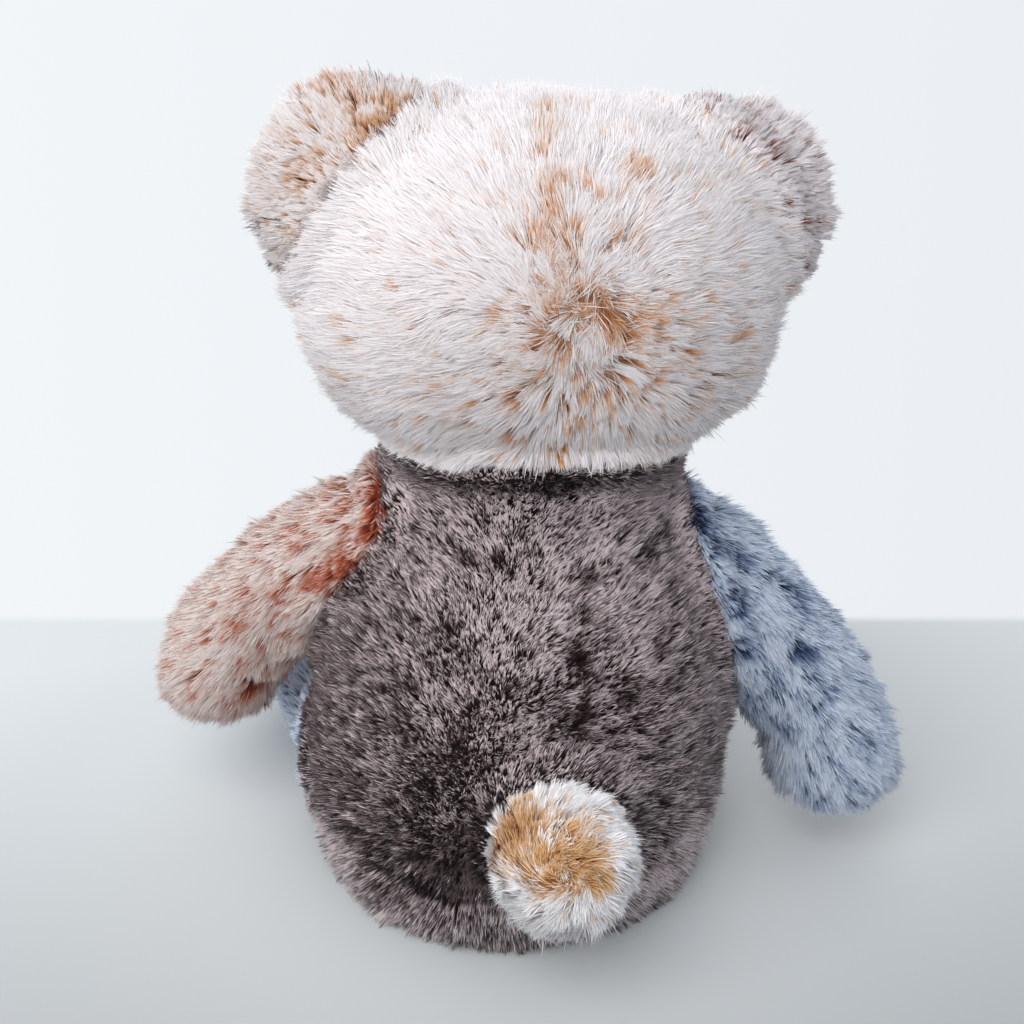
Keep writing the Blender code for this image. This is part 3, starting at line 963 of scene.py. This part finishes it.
def build_head():
    skin, pile = sewn_panel("head", ["head_cover"], "cream", HEAD_DEPTH, filled_by=["head_stuffing"])
    eyes = [(middle_of(node), EYE_CLEARING) for node in ("eye_left", "eye_right")]
    grow_pile(
        "head_pile", skin, pile, count=290000, length=9.0, lean=66, nap=head_nap, seed=11,
        weight=head_weight, frost=head_frost, trim=head_trim, gather=head_gather, dashes=head_dashes,
        stray=head_stray, clump_area=2.0, lock_area=40, width=0.27, pull=(0.42, 0.30), rise=(3.5, 3.5, 4.0),
        fleck=(0.04, 0.06, 0.07), clearings=eyes, split=lambda p: p[:, 0] > WHORL[0],
    )


def build_muzzle():
    skin, pile = sewn_panel("muzzle", ["muzzle"], "cream", MUZZLE_DEPTH, voxel=2 * MM)
    grow_pile(
        "muzzle_pile", skin, pile, count=14000, length=4.5, lean=44,
        nap=outward_nap(middle_of("nose")), seed=20, frost=patchy_frost(0.82, 0.08, 0.01, 31),
        clump_area=2.0, lock_area=40,
    )


def build_body():
    inside = ["body_stuffing", "pellet_bag"]
    skin, pile = sewn_panel("body", ["body_cover"], "brown", BODY_DEPTH, filled_by=inside)
    grow_pile(
        "body_pile", skin, pile, count=290000, length=5.6, lean=38, nap=body_nap, seed=12,
        weight=toward_back, frost=body_frost, clump_area=0.8, lock_area=30, width=0.25, pull=(0.55, 0.12),
        wander=(10.0, 12.0, 10.0), rise=(5.0, 7.0, 7.0), fleck=(0.07, 0.18, 0.14),
        split=lambda p: p[:, 0] > BODY_SPLIT,
    )


def build_tail():
    skin, pile = sewn_panel("tail", ["tail"], "tan", TAIL_DEPTH, voxel=2 * MM)
    grow_pile(
        "tail_pile", skin, pile, count=42000, length=8.5, lean=62, nap=tail_nap, seed=19,
        weight=toward_back, frost=tail_frost, clump_area=3.0, lock_area=30, width=0.34, pull=(0.45, 0.25),
        wander=(14.0, 14.0, 10.0), fleck=(0.06, 0.12, 0.08), dashes=everywhere(0.04), stray=tail_stray,
    )


LEFT_ARM_MARKS = (
    (385, 508, 7.5, -0.70),
    (365, 528, 5.5, -0.50),
    (348, 570, 8.0, -0.70),
    (312, 585, 6.0, -0.55),
    (273, 603, 3.5, -0.45),
    (270, 632, 3.5, -0.40),
    (216, 566, 2.5, -0.35),
    (231, 589, 3.0, -0.40),
    (261, 574, 2.5, -0.30),
    (291, 547, 3.5, -0.35),
    (289, 640, 3.0, -0.35),
    (240, 705, 4.5, -0.45),
    (214, 644, 2.5, -0.35),
)
RIGHT_ARM_MARKS = (
    (705, 520, 6.0, -0.60),
    (725, 545, 4.0, -0.50),
    (750, 552, 4.0, -0.50),
    (765, 562, 2.5, -0.40),
    (790, 574, 3.5, -0.50),
    (744, 605, 6.0, -0.50),
    (808, 596, 4.5, -0.45),
    (803, 659, 4.5, -0.45),
    (824, 655, 3.5, -0.40),
    (750, 650, 5.0, -0.45),
    (794, 626, 4.0, -0.40),
    (775, 690, 4.0, -0.35),
    (835, 700, 4.5, -0.35),
    (790, 740, 5.0, -0.35),
    (720, 490, 3.0, -0.30),
)
LEFT_EAR_MARKS = (
    (395, 108, 6.5, -0.60),
    (340, 96, 8.0, -0.42),
    (372, 126, 4.5, -0.50),
    (309, 154, 4.0, -0.45),
    (355, 150, 4.5, -0.45),
    (292, 180, 4.5, -0.50),
    (337, 196, 4.0, -0.45),
    (257, 170, 4.0, -0.35),
    (283, 228, 4.0, -0.45),
    (262, 205, 3.0, -0.30),
)
RIGHT_EAR_MARKS = (
    (680, 114, 5.0, -0.65),
    (703, 131, 4.2, -0.60),
    (740, 109, 4.0, -0.40),
    (774, 140, 4.0, -0.50),
    (748, 142, 4.2, -0.45),
    (729, 161, 4.0, -0.45),
    (800, 180, 3.2, -0.40),
    (806, 221, 4.5, -0.60),
    (764, 238, 3.0, -0.50),
    (780, 256, 4.5, -0.65),
    (796, 262, 4.0, -0.60),
    (765, 190, 5.0, 0.20),
)


def build_arms():
    arms = (
        ("left", "rust", (0.76, -0.12, -0.64), LEFT_ARM_MARKS, 13),
        ("right", "blue", (-0.72, 0.12, -0.68), RIGHT_ARM_MARKS, 14),
    )
    for side, colour, nap, marks, seed in arms:
        inside = [f"arm_{side}_stuffing"]
        skin, pile = sewn_panel(f"arm_{side}", [f"arm_{side}_cover"], colour, ARM_DEPTH, 2.4 * MM, inside)
        grow_pile(
            f"arm_{side}_pile", skin, pile, count=84000, length=8.0, lean=56,
            nap=steady_nap(nap), seed=seed, weight=toward_back,
            frost=patchy_frost(0.57, 0.26, 0.008, seed, marks, nap), clump_area=2.0, lock_area=40,
            width=0.30, fleck=(0.06, 0.10, 0.10), dashes=everywhere(0.035), rise=(4.0, 5.0, 6.0),
        )


def build_legs():
    legs = (
        ("left", "blue", (0.24, -0.95, 0.0), 15),
        ("right", "rust", (-0.24, -0.95, 0.0), 16),
    )
    for side, colour, nap, seed in legs:
        inside = [f"leg_{side}_stuffing"]
        skin, pile = sewn_panel(f"leg_{side}", [f"leg_{side}_cover"], colour, LEG_DEPTH, 2.6 * MM, inside)
        grow_pile(
            f"leg_{side}_pile", skin, pile, count=32000, length=7.5, lean=55,
            nap=steady_nap(nap), seed=seed, frost=patchy_frost(0.58, 0.14, 0.012, seed), clump_area=3.0,
            lock_area=45, width=0.5, fleck=(0.06, 0.14, 0.14), dashes=everywhere(0.08),
        )


def build_ears():
    ears = (
        ("left", "beige", 0.70, LEFT_EAR_MARKS, (1.0, 0.0, 0.1), 17),
        # The right ear's shade of 0.80 is partly its pale tips and partly painted light on a side that the
        # key light misses
        ("right", "dark_rust", 0.80, RIGHT_EAR_MARKS, (-0.8, 0.0, 0.6), 18),
    )
    for side, colour, shade, marks, side_step, seed in ears:
        layers = [f"ear_{side}_back", f"ear_{side}_front"]
        skin, pile = sewn_panel(f"ear_{side}", layers, colour, EAR_DEPTH, voxel=2 * MM)
        back = middle_of(layers[0])
        base = back + unit(HEAD_CENTRE - back) * EAR_ROOT_DEPTH
        grow_pile(
            f"ear_{side}_pile", skin, pile, count=33000, length=7.5, lean=56,
            nap=outward_nap(base), seed=seed, weight=toward_back,
            frost=patchy_frost(shade, 0.26, 0.008, seed, marks, side_step), clump_area=2.0, lock_area=30,
            width=0.30, fleck=(0.06, 0.10, 0.10), dashes=everywhere(0.05),
        )


def build_velour():
    """The short pile of the nose and soles."""
    short = (
        ("nose", "nose_velour", NOSE_TONES, 8000, 0.9, 0.8 * MM, 21),
        ("foot_pad_left", "sole_velour", SOLE_TONES, 11000, 1.5, 1.2 * MM, 22),
        ("foot_pad_right", "sole_velour", SOLE_TONES, 11000, 1.5, 1.2 * MM, 23),
    )
    for node, slot, tones, count, length, voxel, seed in short:
        backing = mottled_material(f"{node}_backing", tones, 700, 0.9)
        skin = make_skin(f"{node}_skin", [node], VELOUR_DEPTH, backing, voxel, rounds=4)
        pile = pile_material(f"{node}_pile", tuple(zip((0.0, 0.7), tones)))
        grow_pile(
            f"{node}_pile", skin, pile, count=count, length=length, lean=25,
            nap=steady_nap((0.0, -0.2, -1.0)), seed=seed, frost=patchy_frost(0.5, 0.12, 0.006, seed),
            clump_area=0.6, lock_area=20, width=0.3, fleck=(0.05, 0.1, 0.1),
        )


def build_eyes():
    polished = new_material("eye_plastic", roughness=0.10, specular=0.35)
    polished.node_tree.nodes["Principled BSDF"].inputs["Base Color"].default_value = EYE_TONE
    for node in ("eye_left", "eye_right"):
        mesh = closed_skin(f"{node}_dome", [node], voxel=0.5 * MM, rounds=20)
        mesh.materials.clear()
        mesh.materials.append(polished)
        mesh.polygons.foreach_set("use_smooth", np.ones(len(mesh.polygons), bool))
        piece = add_object(f"{node}_dome", mesh)
        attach(piece, "root")
        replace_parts(piece, node)


def build_fill():
    """The parts inside the covers keep their solids and get their own finish."""
    fibre = mottled_material("fibre_fill", FIBRE_TONES, 180, 0.95, relief=0.6)
    cotton = mottled_material("bag_cotton", COTTON_TONES, 900, 0.9, relief=0.4)
    moulded = mottled_material("washer_plastic", WASHER_TONES, 300, 0.5, relief=0.1)
    for name, node in NODES.items():
        if node.hide_render:
            continue
        material = moulded if "washer" in name else fibre
        if name == "pellet_bag":
            material = cotton
        node.data.materials.clear()
        node.data.materials.append(material)


def dot(material, position, direction):
    return combined(material, "ShaderNodeVectorMath", "DOT_PRODUCT", position, direction)


def table_colour_with_painted_light(material, position, distance, right, away):
    """Greyer toward the camera and the right as painted shade, and paler close to the bear as painted
    light.
    """
    # Painted shade toward the camera and the right of the view
    slope = dot(material, position, right * PAINTED_SHADE_SLANT - away)
    painted_shade = rescaled(material, slope, PAINTED_SHADE_SLOPE)
    # Painted light close to the bear, where its shadows fall
    near = rescaled(material, distance, PAINTED_LIGHT_NEAR, (PAINTED_LIGHT_LIFT, 0.0), "SMOOTHSTEP")
    place = combined(material, "ShaderNodeMath", "ADD", painted_shade, near)
    # The table's pale grey, and the darker grey that its painted shade reaches
    return ramp_node(material, place, ((0.0, linear(211, 214, 215)), (1.0, linear(138, 141, 143))))


def wall_light(material, across, depth):
    """The wall's white, with painted shade that makes it a little greyer toward the right of the view."""
    reach = combined(material, "ShaderNodeMath", "ADD", depth, CAMERA_DISTANCE)
    slant = combined(material, "ShaderNodeMath", "DIVIDE", across, reach)
    side = rescaled(material, slant, (-WALL_SHADE_SPREAD, WALL_SHADE_SPREAD))
    wall = add_node(material, "ShaderNodeEmission", Strength=1.0)
    # Painted shade, a little greyer toward the right
    wall_shade_tint = ramp_node(material, side, ((0.0, linear(242, 246, 249)), (1.0, linear(234, 238, 243))))
    wire(material, wall_shade_tint, wall.inputs["Color"])
    return wall.outputs[0]


def table_material():
    """A pale table that the camera sees turn to the wall's white behind the bear and far away."""
    material = new_material("table", roughness=0.6, specular=0.2)
    shader = material.node_tree.nodes["Principled BSDF"]
    _, right, _, _ = camera_axes()
    away = Vector((0, 0, 1)).cross(right)
    position = add_node(material, "ShaderNodeNewGeometry").outputs["Position"]
    distance = combined(material, "ShaderNodeVectorMath", "LENGTH", position)
    colour = table_colour_with_painted_light(material, position, distance, right, away)
    wire(material, colour, shader.inputs["Base Color"])
    depth = dot(material, position, away)
    wall = wall_light(material, dot(material, position, right), depth)
    beyond = rescaled(material, depth, TABLE_EDGE, curve="SMOOTHSTEP")
    far = rescaled(material, distance, TABLE_FADE, curve="SMOOTHSTEP")
    either = combined(material, "ShaderNodeMath", "MAXIMUM", beyond, far)
    rays = add_node(material, "ShaderNodeLightPath")
    shown = combined(material, "ShaderNodeMath", "MULTIPLY", either, rays.outputs["Is Camera Ray"])
    blend = add_node(material, "ShaderNodeMixShader")
    wire(material, shown, blend.inputs[0])
    wire(material, shader.outputs[0], blend.inputs[1])
    wire(material, wall, blend.inputs[2])
    wire(material, blend.outputs[0], material.node_tree.nodes["Material Output"].inputs["Surface"])
    return material


def build_floor():
    mesh = bpy.data.meshes.new("floor")
    corners = [(x * FLOOR_REACH, y * FLOOR_REACH, 0) for x, y in ((-1, -1), (1, -1), (1, 1), (-1, 1))]
    mesh.from_pydata(corners, [], [(0, 1, 2, 3)])
    mesh.materials.append(table_material())
    floor = add_object("floor", mesh)


def build_world():
    """A soft sky, stronger overhead, which the camera and reflections see as plain white."""
    world = bpy.data.worlds.new("studio")
    bpy.context.scene.world = world
    world.use_nodes = True
    world.node_tree.nodes.clear()
    paths = add_node(world, "ShaderNodeLightPath")
    straight, mirrored = paths.outputs["Is Camera Ray"], paths.outputs["Is Glossy Ray"]
    shown = combined(world, "ShaderNodeMath", "MAXIMUM", straight, mirrored)
    sky = add_node(world, "ShaderNodeTexCoord")
    height = add_node(world, "ShaderNodeSeparateXYZ")
    wire(world, sky.outputs["Generated"], height.inputs[0])
    overhead = rescaled(world, height.outputs["Z"], (0.0, 1.0), (SKY_LOW, SKY_HIGH))
    soft = add_node(world, "ShaderNodeBackground", Color=linear(238, 244, 250))
    wire(world, overhead, soft.inputs["Strength"])
    white = add_node(world, "ShaderNodeBackground", Color=linear(238, 244, 246))
    mixed = add_node(world, "ShaderNodeMixShader")
    wire(world, shown, mixed.inputs[0])
    wire(world, soft.outputs[0], mixed.inputs[1])
    wire(world, white.outputs[0], mixed.inputs[2])
    output = add_node(world, "ShaderNodeOutputWorld")
    wire(world, mixed.outputs[0], output.inputs["Surface"])


def build_lights():
    """A soft key light from the upper left of the view, and a weak one for the hidden side."""
    for name, energy, place in LIGHTS:
        light = bpy.data.lights.new(name, "AREA")
        light.shape, light.size, light.energy = "DISK", LIGHT_SIZE, energy
        light.color = LIGHT_COLOUR
        lamp = add_object(name, light)
        lamp.location = place
        lamp.rotation_mode = "QUATERNION"
        lamp.rotation_quaternion = (place - LIGHT_TARGET).to_track_quat("Z", "Y")


def build_camera():
    eye, _, _, back = camera_axes()
    data = bpy.data.cameras.new("camera")
    data.lens, data.sensor_width = CAMERA_LENS, SENSOR_WIDTH
    data.clip_start, data.clip_end = CAMERA_CLIP
    camera = add_object("camera", data)
    camera.location = eye
    camera.rotation_mode = "QUATERNION"
    camera.rotation_quaternion = (-back).to_track_quat("-Z", "Y")
    bpy.context.scene.camera = camera


build_camera()
build_head()
build_muzzle()
build_body()
build_tail()
build_arms()
build_legs()
build_ears()
build_velour()
build_eyes()
build_fill()
build_floor()
build_world()
build_lights()
bpy.context.scene.view_settings.view_transform = "Standard"
